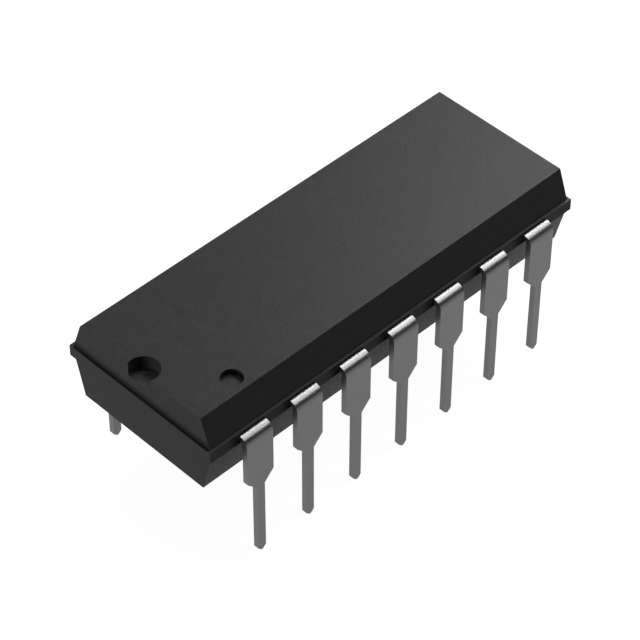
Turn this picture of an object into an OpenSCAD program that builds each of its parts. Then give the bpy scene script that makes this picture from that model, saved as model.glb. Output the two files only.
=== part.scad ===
// Fourteen-lead dual in-line integrated circuit.
// A moulded body closes round a formed lead frame, which carries a bonded silicon die.
// +X runs along the body from its notched end, +Z is up, and z = 0 is at the lead tips.
// Leads 1 to 7 run along the -Y side from the notch, and 8 to 14 come back along +Y.

/* [Moulded body] */
// Distance from the centre of an end lead to the end face of the body
end_margin = 1.98; // [1.3:0.02:3]
// Width of the body where its sides meet the parting band
body_width = 7.48; // [7.1:0.02:7.7]
// Width of the flat top and of the flat underside
face_width = 6.55; // [6.1:0.05:6.9]
// Height of the upper half above the parting band
upper_height = 1.32; // [1.1:0.02:1.8]
// Height of the lower half below the parting band
lower_height = 1.85; // [0.6:0.05:2.2]
// Height of the parting band
band_height = 0.52; // [0.4:0.02:0.8]
// How far the parting band stands out all round
band_ledge = 0.12; // [0.05:0.01:0.16]

/* [Marks in the body] */
// Radius of the notch at the lead 1 end
notch_radius = 0.66; // [0.4:0.02:1]
// Depth of the notch below the top
notch_depth = 0.64; // [0.2:0.02:0.7]
// Distance of the notch's centre inside the end face
notch_inset = 0.21; // [0:0.01:0.35]
// Diameter of the round dimple beside lead 1
dimple_diameter = 0.9; // [0.4:0.02:1.2]
// Depth of the dimple below the top
dimple_depth = 0.26; // [0.05:0.01:0.4]
// Distance of the dimple's centre from the end face
dimple_from_end = 2.2; // [1.6:0.05:3]
// Distance of the dimple's centre from the long edge of the top
dimple_from_side = 0.7; // [0.65:0.01:1]
// Diameter of the two ejector marks in the underside
ejector_diameter = 1.6; // [0.8:0.05:2.2]
// Depth of the ejector marks
ejector_depth = 0.08; // [0.03:0.01:0.2]
// Distance between the centres of the two ejector marks
ejector_spacing = 11; // [8:0.5:13]

/* [Leads outside the body] */
// Distance between neighbouring leads in a row
pitch = 2.54; // [2.4:0.01:2.8]
// Distance between the middles of the two rows of pins
row_spacing = 8.26; // [8.2:0.02:9.4]
// Thickness of the lead frame sheet
sheet_thickness = 0.25; // [0.2:0.01:0.3]
// Inside radius of the bend
bend_radius = 0.13; // [0.08:0.01:0.18]
// Width of a lead's shoulder
shoulder_width = 1.31; // [1.1:0.01:1.5]
// Width of a lead's pin
pin_width = 0.39; // [0.36:0.01:0.56]
// Height of the body's underside above the lead tips
standoff = 4.24; // [4.1:0.01:5.5]
// Height above the tips at which the shoulder begins to narrow
shoulder_end = 4.1; // [3.9:0.05:4.4]
// Height over which the shoulder narrows to the pin
shoulder_taper = 0.48; // [0.2:0.02:0.8]
// Size of the corner cuts at a pin's tip
tip_chamfer = 0.15; // [0.05:0.01:0.16]

/* [Lead frame inside the body] */
// Depth to which the full shoulder width reaches into the band
shoulder_bite = 0.45; // [0.3:0.02:0.6]
// Width of a finger at its root
finger_root = 0.8; // [0.7:0.02:1]
// Length of a finger's straight root behind the shoulder
finger_straight = 0.68; // [0.55:0.02:0.75]
// Width of a finger at its bonding tip
finger_tip = 0.3; // [0.24:0.01:0.34]
// Diameter of the locking hole that the moulding fills
lock_hole = 0.36; // [0.2:0.02:0.44]
// Length of the die paddle
paddle_length = 3.4; // [3.3:0.05:4]
// Width of the die paddle
paddle_width = 2.6; // [2.5:0.05:2.8]
// Gap between the finger tips and the paddle
finger_gap = 0.25; // [0.15:0.01:0.4]
// Distance of a middle finger's tip from its neighbour
side_tip_pitch = 1.1; // [0.9:0.02:1.3]
// Distance from the centre line to the nearer finger tip at the paddle's end
end_tip_offset = 0.5; // [0.48:0.01:0.56]
// Distance between the two finger tips at the paddle's end
end_tip_pitch = 0.5; // [0.46:0.01:0.56]
// Width of the tie bars that carry the paddle
tie_width = 0.36; // [0.2:0.02:0.4]
// Width of the anchor at a tie bar's outer end
anchor_width = 1.1; // [0.6:0.05:1.6]
// Length of the anchor at a tie bar's outer end
anchor_length = 0.4; // [0.2:0.05:0.6]
// Thickness of moulding between an anchor and the end face
anchor_cover = 0.3; // [0.15:0.05:0.6]

/* [Die and wires] */
// Length of the silicon die
die_length = 2.4; // [2:0.05:2.8]
// Width of the silicon die
die_width = 1.6; // [1.4:0.05:1.8]
// Height of the silicon die
die_height = 0.28; // [0.2:0.01:0.4]
// Thickness of the adhesive under the die
attach_height = 0.03; // [0.02:0.005:0.05]
// How far the adhesive spreads past the die
attach_spread = 0.08; // [0.04:0.01:0.2]
// Distance of the bond pads inside the die's edge
pad_inset = 0.14; // [0.1:0.01:0.2]
// Distance between the middle pads along the die's long edge
pad_pitch = 0.7; // [0.5:0.02:0.8]
// Diameter of a bond wire
wire_diameter = 0.04; // [0.03:0.005:0.05]
// Diameter of the ball bond on a pad
ball_diameter = 0.1; // [0.08:0.005:0.14]
// Height of the ball bond
ball_height = 0.03; // [0.02:0.005:0.05]
// Radius in which a wire turns over above its ball
wire_turn = 0.14; // [0.1:0.01:0.2]
// Distance of a wire's landing from the end of the finger
landing_inset = 0.2; // [0.12:0.01:0.3]
// Length over which a wire is stitched down on its finger
stitch_length = 0.08; // [0.05:0.01:0.1]

/* [Hidden] */
leads_per_side = 7;
lead_count = 2 * leads_per_side;
mid_lead = (leads_per_side - 1) / 2;

body_length = (leads_per_side - 1) * pitch + 2 * end_margin;
band_half_width = body_width / 2 + band_ledge;

underside_z = standoff;
band_bottom_z = underside_z + lower_height;
band_top_z = band_bottom_z + band_height;
top_z = band_top_z + upper_height;

sheet_top_z = band_bottom_z + (band_height + sheet_thickness) / 2;
sheet_bottom_z = sheet_top_z - sheet_thickness;
outer_radius = bend_radius + sheet_thickness;
lead_face = row_spacing / 2 + sheet_thickness / 2;
bend_start = lead_face - outer_radius;
bend_centre_z = sheet_top_z - outer_radius;

root_start = band_half_width - shoulder_bite;
knee = root_start - finger_straight;
lock_hole_centre = root_start - finger_straight / 2;
side_tip = paddle_width / 2 + finger_gap;
end_tip = paddle_length / 2 + finger_gap;

attach_top_z = sheet_top_z + attach_height;
die_top_z = attach_top_z + die_height;

// A cut runs this far past the face that it opens
past = 0.2;

// A wire is drawn with this many sides, and with this many straight steps in its two curves
wire_sides = 6;
turn_steps = 3;
fall_steps = 4;

function two_digits(n) = str(n < 10 ? "0" : "", n);
function lead_name(n) = str("lead_", two_digits(n));
function wire_name(n) = str("bond_wire_", two_digits(n));

// Leads count from the middle of the -Y row, so that the row runs from -3 to 3
function place(n) = (n - 1) % leads_per_side - mid_lead;

function unit(v) = v / norm(v);
function normal(v) = [-v[1], v[0]];

// Middle of a finger's bonding tip. The outer two reach round to the paddle's end.
function tip_point(i) =
    abs(i) <= 1 ? [i * side_tip_pitch, -side_tip]
                : [sign(i) * end_tip, -end_tip_offset - (mid_lead - abs(i)) * end_tip_pitch];

// Bond pad on the die for the same lead
function pad_point(i) =
    abs(i) <= 1 ? [i * pad_pitch, pad_inset - die_width / 2]
                : [sign(i) * (die_length / 2 - pad_inset),
                   -end_tip_offset / 2 - (mid_lead - abs(i)) * end_tip_pitch / 2];

function knee_point(i) = [i * pitch, -knee];

// Corner of the finger's outline at its knee, on the side given by +1 or -1
function knee_corner(i, side) =
    let (
        entry = [0, 1],
        run = unit(tip_point(i) - knee_point(i)),
        across = unit(normal(entry) + normal(run))
    )
    knee_point(i) + side * across * finger_root / 2 / (across * normal(run));

function tip_corner(i, side) =
    tip_point(i) + side * normal(unit(tip_point(i) - knee_point(i))) * finger_tip / 2;

// Where the wire lands on the finger
function landing_point(i) =
    tip_point(i) - unit(tip_point(i) - knee_point(i)) * landing_inset;

// A wire's path in its own upright plane, as [distance, height] from its pad: up from the ball,
// over a quarter turn, down a wide curve that meets it smoothly, and flat along the finger
function wire_path(reach, drop) =
    let (
        run = reach - wire_turn,
        angle = 2 * atan((ball_height + wire_turn + drop) / run),
        fall_radius = run / sin(angle)
    )
    concat(
        [[0, ball_height / 2]],
        [for (k = [0:turn_steps])
            let (a = 90 * k / turn_steps)
            [wire_turn * (1 - cos(a)), ball_height + wire_turn * sin(a)]],
        [for (k = [1:fall_steps])
            let (a = angle * k / fall_steps)
            [wire_turn + fall_radius * sin(a),
             ball_height + wire_turn - fall_radius * (1 - cos(a))]],
        [[reach + stitch_length, -drop]]
    );

// Corners of a wire's section at point j of its path, in the plane that halves the bend there
function wire_ring(path, j) =
    let (
        into = max(j, 1),
        out = min(j, len(path) - 2),
        before = unit(path[into] - path[into - 1]),
        after = unit(path[out + 1] - path[out]),
        along = unit(before + after),
        stretch = 1 / (along * after)
    )
    [for (k = [0:wire_sides - 1])
        let (
            up = stretch * wire_diameter / 2 * cos(360 * k / wire_sides),
            across = wire_diameter / 2 * sin(360 * k / wire_sides)
        )
        [path[j][0] - along[1] * up, across, path[j][1] + along[0] * up]];

// Draws a lead of the -Y row, or turns it half a turn to its place in the +Y row
module in_row(n) {
    rotate([0, 0, n > leads_per_side ? 180 : 0])
        children();
}

module finger_outline(i) {
    difference() {
        polygon([
            [i * pitch - shoulder_width / 2, -bend_start],
            [i * pitch - shoulder_width / 2, -root_start],
            [i * pitch - finger_root / 2, -root_start],
            knee_corner(i, 1),
            tip_corner(i, 1),
            tip_corner(i, -1),
            knee_corner(i, -1),
            [i * pitch + finger_root / 2, -root_start],
            [i * pitch + shoulder_width / 2, -root_start],
            [i * pitch + shoulder_width / 2, -bend_start]
        ]);
        translate([i * pitch, -lock_hole_centre])
            circle(d = lock_hole, $fn = 24);
    }
}

// The flat part of a lead, which the moulding closes round
module finger(i) {
    translate([0, 0, sheet_bottom_z])
        linear_extrude(sheet_thickness)
            finger_outline(i);
}

// Side view of the bend and the upright part: x here is the distance out from the body's middle
module bend_profile() {
    translate([root_start, sheet_bottom_z])
        square([bend_start - root_start, sheet_thickness]);
    translate([bend_start, bend_centre_z])
        intersection() {
            difference() {
                circle(r = outer_radius, $fn = 32);
                circle(r = bend_radius, $fn = 32);
            }
            square(outer_radius);
        }
    translate([lead_face - sheet_thickness, 0])
        square([sheet_thickness, bend_centre_z]);
}

// Front view of a lead: shoulder, tapers, pin and cut tip
module lead_front() {
    polygon([
        [-shoulder_width / 2, sheet_top_z],
        [-shoulder_width / 2, shoulder_end],
        [-pin_width / 2, shoulder_end - shoulder_taper],
        [-pin_width / 2, tip_chamfer],
        [-pin_width / 2 + tip_chamfer, 0],
        [pin_width / 2 - tip_chamfer, 0],
        [pin_width / 2, tip_chamfer],
        [pin_width / 2, shoulder_end - shoulder_taper],
        [shoulder_width / 2, shoulder_end],
        [shoulder_width / 2, sheet_top_z]
    ]);
}

module bent_lead() {
    intersection() {
        translate([-shoulder_width / 2, 0, 0])
            rotate([90, 0, -90])
                mirror([0, 0, 1])
                    linear_extrude(shoulder_width)
                        bend_profile();
        rotate([90, 0, 0])
            linear_extrude(lead_face)
                lead_front();
    }
}

module lead(n) {
    color("#8f8f8f")
        in_row(n) {
            translate([place(n) * pitch, 0, 0])
                bent_lead();
            finger(place(n));
        }
}

module swept_wire(path) {
    last = len(path) - 1;
    polyhedron(
        points = [for (j = [0:last]) each wire_ring(path, j)],
        faces = concat(
            [[for (k = [1:wire_sides]) wire_sides - k]],
            [for (j = [0:last - 1], k = [0:wire_sides - 1])
                let (next = (k + 1) % wire_sides)
                [j * wire_sides + k, j * wire_sides + next,
                 (j + 1) * wire_sides + next, (j + 1) * wire_sides + k]],
            [[for (k = [0:wire_sides - 1]) last * wire_sides + k]]
        )
    );
}

// The ball and its wire before the finger is cut away from the stitch
module wire_blank(n) {
    start = pad_point(place(n));
    step = landing_point(place(n)) - start;
    in_row(n)
        translate([start[0], start[1], die_top_z])
            rotate([0, 0, atan2(step[1], step[0])])
                union() {
                    cylinder(h = ball_height, d = ball_diameter, $fn = 16);
                    swept_wire(wire_path(norm(step), die_top_z - sheet_top_z));
                }
}

module bond_wire(n) {
    color("#d4a537")
        difference() {
            wire_blank(n);
            in_row(n)
                finger(place(n));
        }
}

module tie_bar_outline() {
    anchor_end = body_length / 2 - anchor_cover;
    translate([0, -tie_width / 2])
        square([anchor_end, tie_width]);
    translate([anchor_end - anchor_length, -anchor_width / 2])
        square([anchor_length, anchor_width]);
}

module die_paddle() {
    color("#b9bcc0")
        translate([0, 0, sheet_bottom_z])
            linear_extrude(sheet_thickness)
                union() {
                    square([paddle_length, paddle_width], center = true);
                    tie_bar_outline();
                    rotate(180)
                        tie_bar_outline();
                }
}

module slab(length, width, height, z) {
    translate([-length / 2, -width / 2, z])
        cube([length, width, height]);
}

module die_attach() {
    color("#c8c8cc")
        slab(die_length + 2 * attach_spread, die_width + 2 * attach_spread, attach_height, sheet_top_z);
}

module silicon_die() {
    color("#4a4f57")
        slab(die_length, die_width, die_height, attach_top_z);
}

// Cross-section of the moulding, drawn with x as the distance across the body
module body_section() {
    polygon([
        [-face_width / 2, underside_z],
        [face_width / 2, underside_z],
        [body_width / 2, band_bottom_z],
        [body_width / 2, band_top_z],
        [face_width / 2, top_z],
        [-face_width / 2, top_z],
        [-body_width / 2, band_top_z],
        [-body_width / 2, band_bottom_z]
    ]);
}

module body_blank() {
    translate([-body_length / 2, 0, 0])
        rotate([90, 0, 90])
            linear_extrude(body_length)
                body_section();
    slab(body_length + 2 * band_ledge, 2 * band_half_width, band_height, band_bottom_z);
}

module body_marks() {
    translate([notch_inset - body_length / 2, 0, top_z - notch_depth])
        cylinder(h = notch_depth + past, r = notch_radius, $fn = 64);
    translate([dimple_from_end - body_length / 2, dimple_from_side - face_width / 2, top_z - dimple_depth])
        cylinder(h = dimple_depth + past, d = dimple_diameter, $fn = 48);
    for (side = [-1, 1])
        translate([side * ejector_spacing / 2, 0, underside_z - past])
            cylinder(h = ejector_depth + past, d = ejector_diameter, $fn = 48);
}

module moulded_body() {
    color("#2b2b2d")
        difference() {
            body_blank();
            body_marks();
            for (n = [1:lead_count]) {
                lead(n);
                wire_blank(n);
            }
            die_paddle();
            die_attach();
            silicon_die();
        }
}

moulded_body();
die_paddle();
die_attach();
silicon_die();
for (n = [1:lead_count]) {
    lead(n);
    bond_wire(n);
}
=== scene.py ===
"""Looks for the fourteen-lead dual in-line integrated circuit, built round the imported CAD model."""

import math

import bpy
from mathutils import Matrix, Vector

MM = 0.001

# Camera, as fitted to the photograph: degrees and millimetres
CAMERA_AZIMUTH = -44.581
CAMERA_ELEVATION = 44.795
CAMERA_ROLL = 0.117
CAMERA_DISTANCE = 103.843
CAMERA_AIM = (-1.144, -0.769, 5.250)
CAMERA_LENS = 152.09
CAMERA_SENSOR = 36.0
CAMERA_NEAR = 1.0
CAMERA_FAR = 50000.0

# Lamps: azimuth and elevation in degrees, width and height in millimetres, and radiance
LAMPS = {
    "key": (108.0, 58.5, 60.0, 60.0, 26.0),
    "softbox": (71.0, 54.0, 225.0, 80.0, 10.8),
    "sheen": (121.0, 45.0, 72.0, 72.0, 37.0),
    "overhead": (180.0, 78.0, 60.0, 60.0, 24.0),
    "end_fill": (-105.0, 9.0, 92.0, 92.0, 23.0),
}
LAMP_DISTANCE = 300.0

# World: its strength at the horizon and in the sky, and the heights between which it fades,
# as sines of the elevation
HORIZON_STRENGTH = 0.30
SKY_STRENGTH = 0.06
FADE_START = 0.06
FADE_END = 0.34

# Floor: side in millimetres, then the greys that it sends back to the part and that it takes
# a shadow with, and the strength of its white
FLOOR_SIZE = 4000.0
FLOOR_BOUNCE = 0.04
FLOOR_SHADOW = 0.08
FLOOR_WHITE = 0.96

# Noise values that stand for the lowest and the highest of a look
NOISE_LOW = 0.3
NOISE_HIGH = 0.7

# Sockets of a Mix node that mixes colours
MIX_FACTOR = 0
MIX_DARK = 6
MIX_LIGHT = 7
MIX_RESULT = 2

# Materials: a spread is a share of a grey or a step in roughness to either side. Clouds,
# grains, flakes, blocks and depths are millimetres.
DEFAULT_SPECULAR = 0.5

EPOXY_GREY = 0.021
EPOXY_GREY_SPREAD = 0.08
EPOXY_SPECULAR = 0.032
EPOXY_ROUGHNESS = 0.30
EPOXY_ROUGHNESS_SPREAD = 0.05
EPOXY_CLOUD = 0.3
EPOXY_GRAIN = 0.075
EPOXY_DETAIL = 3.0
EPOXY_DEPTH = 0.005

TIN_GREY = 0.120
TIN_GREY_SPREAD = 0.03
TIN_ROUGHNESS = 0.36
TIN_ROUGHNESS_SPREAD = 0.003
TIN_CLOUD = 0.6
TIN_CLOUD_DETAIL = 3.0
TIN_LINES = 0.14
TIN_LINES_DETAIL = 0.0
TIN_LINES_STRETCH = (1.0, 1.0, 0.08)

METAL_DARKER = 0.9
METAL_ROUGHNESS_SPREAD = 0.05
METAL_DEPTH = 0.0004

PADDLE_COLOUR = (0.62, 0.61, 0.59, 1.0)
PADDLE_ROUGHNESS = 0.32
PADDLE_GRAIN = 0.05

GOLD_COLOUR = (0.85, 0.60, 0.24, 1.0)
GOLD_ROUGHNESS = 0.25
GOLD_GRAIN = 0.02

ADHESIVE_METALLIC = 0.6
ADHESIVE_FLAKES = 0.03
ADHESIVE_GREYS = (0.35, 0.55)
ADHESIVE_ROUGHNESS = (0.35, 0.60)
ADHESIVE_DEPTH = 0.0024

SILICON_METALLIC = 0.7
SILICON_BLOCK = 0.6
SILICON_COLOURS = {
    "Color1": (0.10, 0.11, 0.15, 1.0),
    "Color2": (0.14, 0.12, 0.17, 1.0),
    "Mortar": (0.20, 0.21, 0.22, 1.0),
}
SILICON_GRAIN = 0.02
SILICON_DETAIL = 1.0
SILICON_ROUGHNESS = (0.12, 0.22)


def direction(azimuth, elevation):
    """Unit vector towards a place seen from the object: azimuth 0 is -Y and 90 is +X."""
    a = math.radians(azimuth)
    e = math.radians(elevation)
    return Vector((math.cos(e) * math.sin(a), -math.cos(e) * math.cos(a), math.sin(e)))


def facing(towards, roll=0.0):
    """Rotation of a camera or lamp that stands in a direction and looks back at the object."""
    right = Vector((0, 0, 1)).cross(towards).normalized()
    up = towards.cross(right)
    turn = math.radians(roll)
    rolled_right = math.cos(turn) * right + math.sin(turn) * up
    rolled_up = math.cos(turn) * up - math.sin(turn) * right
    return Matrix((rolled_right, rolled_up, towards)).transposed().to_4x4()


def put(name, data):
    """Adds an object to the scene."""
    thing = bpy.data.objects.new(name, data)
    bpy.context.scene.collection.objects.link(thing)
    return thing


def add_camera():
    """The camera, at the photograph's viewing angle."""
    towards = direction(CAMERA_AZIMUTH, CAMERA_ELEVATION)
    place = Vector(CAMERA_AIM) * MM + towards * CAMERA_DISTANCE * MM
    data = bpy.data.cameras.new("camera")
    data.lens = CAMERA_LENS
    data.sensor_width = CAMERA_SENSOR
    data.clip_start = CAMERA_NEAR * MM
    data.clip_end = CAMERA_FAR * MM
    camera = put("camera", data)
    camera.matrix_world = Matrix.Translation(place) @ facing(towards, CAMERA_ROLL)
    bpy.context.scene.camera = camera


def add_lamps():
    """Soft rectangular lamps, all at one distance and facing the object."""
    for name, (azimuth, elevation, width, height, radiance) in LAMPS.items():
        towards = direction(azimuth, elevation)
        data = bpy.data.lights.new(name, "AREA")
        data.shape = "RECTANGLE"
        data.size = width * MM
        data.size_y = height * MM
        data.energy = radiance * math.pi * data.size * data.size_y
        lamp = put(name, data)
        lamp.matrix_world = Matrix.Translation(towards * LAMP_DISTANCE * MM) @ facing(towards)


def node(tree, kind, **values):
    """Adds a node, sets its properties, and sets inputs given as in_NAME."""
    made = tree.nodes.new(kind)
    for name, value in values.items():
        if name.startswith("in_"):
            made.inputs[name[3:].replace("_", " ")].default_value = value
        else:
            setattr(made, name, value)
    return made


def grey(level):
    """A grey of a linear level."""
    return (level, level, level, 1.0)


def add_world():
    """A dim sky over a pale horizon."""
    world = bpy.data.worlds.new("studio")
    world.use_nodes = True
    bpy.context.scene.world = world
    tree = world.node_tree
    tree.nodes.clear()
    place = node(tree, "ShaderNodeTexCoord")
    split = node(tree, "ShaderNodeSeparateXYZ")
    fade = node(
        tree,
        "ShaderNodeMapRange",
        interpolation_type="SMOOTHSTEP",
        in_From_Min=FADE_START,
        in_From_Max=FADE_END,
        in_To_Min=HORIZON_STRENGTH,
        in_To_Max=SKY_STRENGTH,
    )
    light = node(tree, "ShaderNodeBackground", in_Color=grey(1.0))
    out = node(tree, "ShaderNodeOutputWorld")
    tree.links.new(place.outputs["Generated"], split.inputs[0])
    tree.links.new(split.outputs["Z"], fade.inputs["Value"])
    tree.links.new(fade.outputs["Result"], light.inputs["Strength"])
    tree.links.new(light.outputs[0], out.inputs["Surface"])


def new_material(name):
    """A material with an empty node tree, and its output."""
    material = bpy.data.materials.new(name)
    material.use_nodes = True
    tree = material.node_tree
    tree.nodes.clear()
    out = node(tree, "ShaderNodeOutputMaterial")
    return material, tree, out.inputs["Surface"]


def paper():
    """White where it is seen or mirrored, and dark to diffuse light, so that it adds little."""
    material, tree, out = new_material("floor_paper")
    path = node(tree, "ShaderNodeLightPath")
    seen = node(tree, "ShaderNodeMath", operation="MAXIMUM")
    seen_all = node(tree, "ShaderNodeMath", operation="MAXIMUM")
    bounce = node(tree, "ShaderNodeBsdfDiffuse", in_Color=grey(FLOOR_BOUNCE))
    shade = node(tree, "ShaderNodeBsdfDiffuse", in_Color=grey(FLOOR_SHADOW))
    white = node(tree, "ShaderNodeEmission", in_Color=grey(1.0), in_Strength=FLOOR_WHITE)
    shaded_white = node(tree, "ShaderNodeAddShader")
    mix = node(tree, "ShaderNodeMixShader")
    links = tree.links
    links.new(path.outputs["Is Camera Ray"], seen.inputs[0])
    links.new(path.outputs["Is Glossy Ray"], seen.inputs[1])
    links.new(seen.outputs[0], seen_all.inputs[0])
    links.new(path.outputs["Is Transmission Ray"], seen_all.inputs[1])
    links.new(shade.outputs[0], shaded_white.inputs[0])
    links.new(white.outputs[0], shaded_white.inputs[1])
    links.new(seen_all.outputs[0], mix.inputs[0])
    links.new(bounce.outputs[0], mix.inputs[1])
    links.new(shaded_white.outputs[0], mix.inputs[2])
    links.new(mix.outputs[0], out)
    return material


def add_floor():
    """A plain pale floor under the lead tips, which takes a soft shadow."""
    half = FLOOR_SIZE * MM / 2
    corners = [(-half, -half, 0), (half, -half, 0), (half, half, 0), (-half, half, 0)]
    mesh = bpy.data.meshes.new("floor")
    mesh.from_pydata(corners, [], [(0, 1, 2, 3)])
    mesh.materials.append(paper())
    floor = put("floor", mesh)


def surface(name, metallic=0.0, specular=DEFAULT_SPECULAR):
    """A material with a principled shader, and the object coordinates for its noise."""
    material, tree, out = new_material(name)
    shader = node(tree, "ShaderNodeBsdfPrincipled", in_Metallic=metallic)
    shader.inputs["Specular IOR Level"].default_value = specular
    tree.links.new(shader.outputs[0], out)
    place = node(tree, "ShaderNodeTexCoord")
    return material, tree, shader, place.outputs["Object"]


def noise(tree, place, grain, detail=2.0, stretch=(1.0, 1.0, 1.0)):
    """Noise whose grain is a size in millimetres."""
    scale = node(tree, "ShaderNodeMapping", in_Scale=stretch)
    tree.links.new(place, scale.inputs["Vector"])
    made = node(tree, "ShaderNodeTexNoise", in_Scale=1.0 / (grain * MM), in_Detail=detail)
    tree.links.new(scale.outputs[0], made.inputs["Vector"])
    return made.outputs["Fac"]


def spread(tree, value, low, high):
    """Maps a noise value to the range from low to high."""
    made = node(
        tree,
        "ShaderNodeMapRange",
        in_From_Min=NOISE_LOW,
        in_From_Max=NOISE_HIGH,
        in_To_Min=low,
        in_To_Max=high,
    )
    tree.links.new(value, made.inputs["Value"])
    return made.outputs["Result"]


def tint(tree, shader, value, dark, light):
    """Colours a shader between two colours, by a noise value."""
    made = node(tree, "ShaderNodeMix", data_type="RGBA")
    made.inputs[MIX_DARK].default_value = dark
    made.inputs[MIX_LIGHT].default_value = light
    tree.links.new(spread(tree, value, 0.0, 1.0), made.inputs[MIX_FACTOR])
    tree.links.new(made.outputs[MIX_RESULT], shader.inputs["Base Color"])


def roughen(tree, shader, value, smoothest, roughest):
    """Sets a shader's roughness between two values, by a noise value."""
    tree.links.new(spread(tree, value, smoothest, roughest), shader.inputs["Roughness"])


def bump(tree, shader, height, depth):
    """Gives a shader a bump whose depth is a size in millimetres."""
    made = node(tree, "ShaderNodeBump", in_Strength=1.0, in_Distance=depth * MM)
    tree.links.new(height, made.inputs["Height"])
    tree.links.new(made.outputs["Normal"], shader.inputs["Normal"])


def around(level, step):
    """The values one step below and one step above a level."""
    return level - step, level + step


def greys_around(level, share):
    """Two greys that lie a share of a level below it and above it."""
    return grey(level * (1.0 - share)), grey(level * (1.0 + share))


def epoxy():
    """Black moulding compound: matt, with the fine grain that the mould's sparked faces leave."""
    material, tree, shader, place = surface("mould_compound", specular=EPOXY_SPECULAR)
    cloud = noise(tree, place, EPOXY_CLOUD, EPOXY_DETAIL)
    grain = noise(tree, place, EPOXY_GRAIN, EPOXY_DETAIL)
    tint(tree, shader, cloud, *greys_around(EPOXY_GREY, EPOXY_GREY_SPREAD))
    roughen(tree, shader, grain, *around(EPOXY_ROUGHNESS, EPOXY_ROUGHNESS_SPREAD))
    bump(tree, shader, grain, EPOXY_DEPTH)
    return material


def tin():
    """Satin tin plating with the faint drawn lines of the rolled sheet."""
    material, tree, shader, place = surface("lead_plating", metallic=1.0)
    cloud = noise(tree, place, TIN_CLOUD, TIN_CLOUD_DETAIL)
    lines = noise(tree, place, TIN_LINES, TIN_LINES_DETAIL, TIN_LINES_STRETCH)
    tint(tree, shader, cloud, *greys_around(TIN_GREY, TIN_GREY_SPREAD))
    roughen(tree, shader, lines, *around(TIN_ROUGHNESS, TIN_ROUGHNESS_SPREAD))
    return material


def plain_metal(name, colour, roughness, grain):
    """A metal of one colour with a fine grain."""
    material, tree, shader, place = surface(name, metallic=1.0)
    fine = noise(tree, place, grain)
    darker = tuple(METAL_DARKER * c for c in colour[:3]) + (1.0,)
    tint(tree, shader, fine, darker, colour)
    roughen(tree, shader, fine, *around(roughness, METAL_ROUGHNESS_SPREAD))
    bump(tree, shader, fine, METAL_DEPTH)
    return material


def adhesive():
    """Die attach adhesive, filled with metal flakes."""
    material, tree, shader, place = surface("die_adhesive", metallic=ADHESIVE_METALLIC)
    flakes = noise(tree, place, ADHESIVE_FLAKES)
    tint(tree, shader, flakes, *map(grey, ADHESIVE_GREYS))
    roughen(tree, shader, flakes, *ADHESIVE_ROUGHNESS)
    bump(tree, shader, flakes, ADHESIVE_DEPTH)
    return material


def silicon():
    """Polished silicon with the faint block pattern of its circuits."""
    material, tree, shader, place = surface("silicon", metallic=SILICON_METALLIC)
    blocks = node(tree, "ShaderNodeTexBrick", in_Scale=1.0 / (SILICON_BLOCK * MM))
    for socket, colour in SILICON_COLOURS.items():
        blocks.inputs[socket].default_value = colour
    tree.links.new(place, blocks.inputs["Vector"])
    tree.links.new(blocks.outputs["Color"], shader.inputs["Base Color"])
    fine = noise(tree, place, SILICON_GRAIN, SILICON_DETAIL)
    roughen(tree, shader, fine, *SILICON_ROUGHNESS)
    return material


def dress(nodes):
    """Gives every CAD node its material, by its name without the number."""
    looks = {
        "moulded_body": epoxy(),
        "die_paddle": plain_metal("paddle_plating", PADDLE_COLOUR, PADDLE_ROUGHNESS, PADDLE_GRAIN),
        "die_attach": adhesive(),
        "silicon_die": silicon(),
        "lead": tin(),
        "bond_wire": plain_metal("gold_wire", GOLD_COLOUR, GOLD_ROUGHNESS, GOLD_GRAIN),
    }
    for name, thing in nodes.items():
        thing.data.materials.clear()
        thing.data.materials.append(looks[name.rstrip("_0123456789")])


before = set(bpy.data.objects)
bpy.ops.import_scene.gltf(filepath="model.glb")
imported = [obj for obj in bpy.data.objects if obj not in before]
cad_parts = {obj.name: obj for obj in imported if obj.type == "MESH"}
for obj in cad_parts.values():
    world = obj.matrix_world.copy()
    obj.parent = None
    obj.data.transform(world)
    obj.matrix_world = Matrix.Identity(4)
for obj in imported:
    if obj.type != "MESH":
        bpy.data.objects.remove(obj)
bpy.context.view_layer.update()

dress(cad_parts)
add_camera()
add_lamps()
add_world()
add_floor()

scene = bpy.context.scene
scene.view_settings.view_transform = "Standard"
